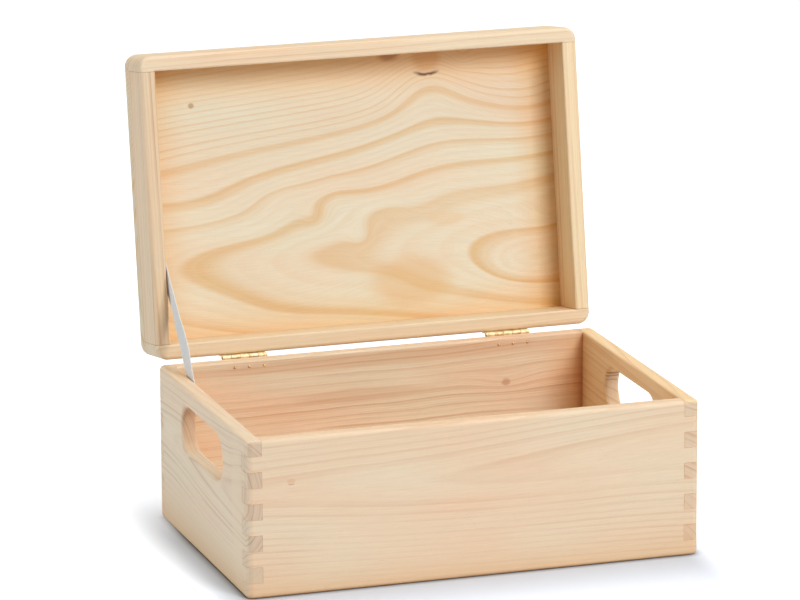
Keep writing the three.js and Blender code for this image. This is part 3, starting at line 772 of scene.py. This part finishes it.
brass = metal("brass", colour(228, 212, 176), colour(200, 173, 126), 0.46)
ALONG_X = Matrix.Rotation(pi / 2, 4, "Y")  # from up to +X
for side, sign in (("left", -1), ("right", 1)):
    at = Matrix.Translation(LID_PIVOT + Vector((sign * HINGE_REACH, 0, 0)))
    name = f"hinge_{side}_"
    piece(name + "box_plate", placed(leaf(0, False), at), brass, "box", "brass", name + "body_leaf")
    piece(
        name + "lid_plate", placed(leaf(1, True), at, LID_OPEN), brass, "lid", "brass",
        name + "lid_leaf",
    )
    end = HINGE_LENGTH / 2 + 0.1 * MM
    rivet = dome(PIN_CAP_RADIUS, PIN_CAP, end)
    foot = [(radius, -height) for radius, height in reversed(rivet)]
    rod = turned([*foot, (PIN_RADIUS, -end), (PIN_RADIUS, end), *rivet])
    piece(name + "rod", placed(rod, ALONG_X, at), brass, "box", "brass", name + "pin")

# ------------------------------------------------------------------ the nails
# Round-headed brass nails, three through each leaf. Those of the box come out inside the back
# board, where their dulled tips show as a row of small dots under each hinge.

NAIL_SPACING = 10 * MM
NAIL_ROW = 4 * MM  # from the pin's line
NAIL_SEAT = 0.1001  # where the underside of the heads lies, along Y
NAIL_RADIUS = 0.82 * MM  # fills the hole that the nail has made
NAIL_POINT = MM
nail_brass = metal("nail brass", colour(232, 208, 172), colour(202, 174, 136), 0.5)
HEAD_BACK = Matrix.Rotation(-pi / 2, 4, "X")  # from up to +Y
for side, sign in (("left", -1), ("right", 1)):
    for number in range(3):
        x = sign * HINGE_REACH + (number - 1) * NAIL_SPACING
        for body, length, row in (("box", 12.2 * MM, -NAIL_ROW), ("lid", 9.5 * MM, NAIL_ROW)):
            tip = [(0, -length), (0.45 * MM, -length + 0.25 * MM)]
            shank = [(NAIL_RADIUS, -length + NAIL_POINT), (NAIL_RADIUS, 0)]
            nail = turned([*tip, *shank, *dome(1.4 * MM, 0.6 * MM, 0)], steps=16)
            at = Matrix.Translation((x, NAIL_SEAT, LID_PIVOT.z + row))
            steps = (HEAD_BACK, at, LID_OPEN) if body == "lid" else (HEAD_BACK, at)
            cad_name = f"nail_{side}_{'body' if body == 'box' else 'lid'}_{number + 1}"
            piece(
                f"hinge_{side}_{body}_nail_{number + 1}", placed(nail, *steps), nail_brass, body,
                "brass", cad_name,
            )

# ------------------------------------------------------------------ the tape
# A woven cotton tape, 14 by 112 mm, tacked inside the left walls of the box and the lid. It is
# tight where the lid stops, with a little twist that a tape always keeps.

TAPE_WIDTH = 14 * MM
TAPE_THICKNESS = 0.5 * MM
TAPE_TAIL = 8 * MM  # past each tack
BOX_TACK = Vector((0, 0.0506, 0.0922))
LID_TACK = LID_OPEN @ Vector((0, 0.0402, 0.1105))
TAPE_X = -0.1399  # the side of the tape that lies on the walls
TAPE_TWIST = radians(5)
TAPE_LIFT = 0.7 * MM  # off the walls in the middle
TAPE_NARROWING = 0.05  # the share of its width that it loses there

run = Vector((0, LID_TACK.y - BOX_TACK.y, LID_TACK.z - BOX_TACK.z))
span = run.length
along = run.normalized()
wide = Vector((0, -along.z, along.y))
out = Vector((1, 0, 0))

bm = bmesh.new()
bmesh.ops.create_grid(bm, x_segments=75, y_segments=8, size=0.5)
for vert in bm.verts:
    distance = (vert.co.x + 0.5) * (span + 2 * TAPE_TAIL) - TAPE_TAIL
    inside = min(max(distance / span, 0), 1)
    free = sin(pi * inside)
    twist = TAPE_TWIST * free * sin(2 * pi * inside - 0.5)
    width = vert.co.y * TAPE_WIDTH * (1 - TAPE_NARROWING * free)
    lift = TAPE_LIFT * free * free
    place = BOX_TACK + along * distance + wide * (width * cos(twist))
    vert.co = place + out * (TAPE_X + lift + abs(TAPE_WIDTH / 2 * sin(twist)) + width * sin(twist))
bmesh.ops.recalc_face_normals(bm, faces=bm.faces)
low_side = bm.faces[:]
if sum(face.normal.x for face in low_side) > 0:
    bmesh.ops.reverse_faces(bm, faces=low_side)
bmesh.ops.solidify(bm, geom=low_side, thickness=TAPE_THICKNESS)

tape_material, tree, output = new_material("cotton tape")
turn = Matrix((along, wide, out)).transposed().to_euler()
place = node(tree, "Mapping", {
    "Vector": node(tree, "TexCoord").outputs["Object"], "Location": BOX_TACK, "Rotation": turn,
    "Scale": (MM, MM, MM),
}, vector_type="TEXTURE").outputs[0]
place = node(tree, "SeparateXYZ", {"Vector": place}).outputs
# a fine herringbone: slanting ribs that change their slant in strips across the tape
strip = calc(tree, "PINGPONG", place["Y"], 1.75)
slant = calc(tree, "ADD", place["X"], strip)
rib = calc(tree, "SINE", calc(tree, "MULTIPLY", slant, 2 * pi / 0.9))
weft = calc(tree, "SINE", calc(tree, "MULTIPLY", place["Y"], 2 * pi / 0.5))
weave = calc(tree, "MULTIPLY_ADD", weft, 0.3, rib)
edge = ramp(tree, calc(tree, "ABSOLUTE", place["Y"]), 6.2, 6.6)
weave = calc(tree, "MULTIPLY_ADD", edge, 0.8, weave)
fluff = node(tree, "TexNoise", {
    "Vector": node(tree, "TexCoord").outputs["Object"], "Scale": 900.0, "Detail": 3.0,
}).outputs["Fac"]
shade = calc(tree, "MULTIPLY_ADD", weave, 0.10, calc(tree, "MULTIPLY_ADD", fluff, 0.5, 0.25))
cloth = node(tree, "Mix", {
    0: ramp(tree, shade, 0.1, 0.8), 6: colour(196, 197, 196), 7: colour(232, 232, 230),
}, data_type="RGBA").outputs[2]
relief = node(tree, "Bump", {"Height": shade, "Strength": 0.35, "Distance": 0.12 * MM})
surface = node(tree, "BsdfPrincipled", {
    "Base Color": cloth, "Roughness": 0.88, "Normal": relief.outputs[0], "Sheen Weight": 0.25,
    "Sheen Roughness": 0.5,
})
tree.links.new(surface.outputs[0], output.inputs["Surface"])
tape = piece("tape", bm, tape_material, None, "cotton_tape", "stay_ribbon")

# ------------------------------------------------------------------ the tape's tacks
# One dome-headed brass tack holds each end of the tape, driven through it into the wall. The
# photograph hides both.

TACK_X = TAPE_X + TAPE_THICKNESS + 0.1 * MM
for name, body, cad_name in (("tape_tack_box", "box", "stay_body_tack"),
                             ("tape_tack_lid", "lid", "stay_lid_tack")):
    shank = [(0, -7 * MM), (0.6 * MM, -6.4 * MM), (0.6 * MM, 0)]
    tack = turned([*shank, *dome(2.5 * MM, MM, 0, steps=8)], steps=32)
    seat = Vector((TACK_X, 0, 0)) + (BOX_TACK if body == "box" else LID_TACK)
    piece(name, placed(tack, ALONG_X, Matrix.Translation(seat)), nail_brass, body, "brass", cad_name)

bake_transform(tape)
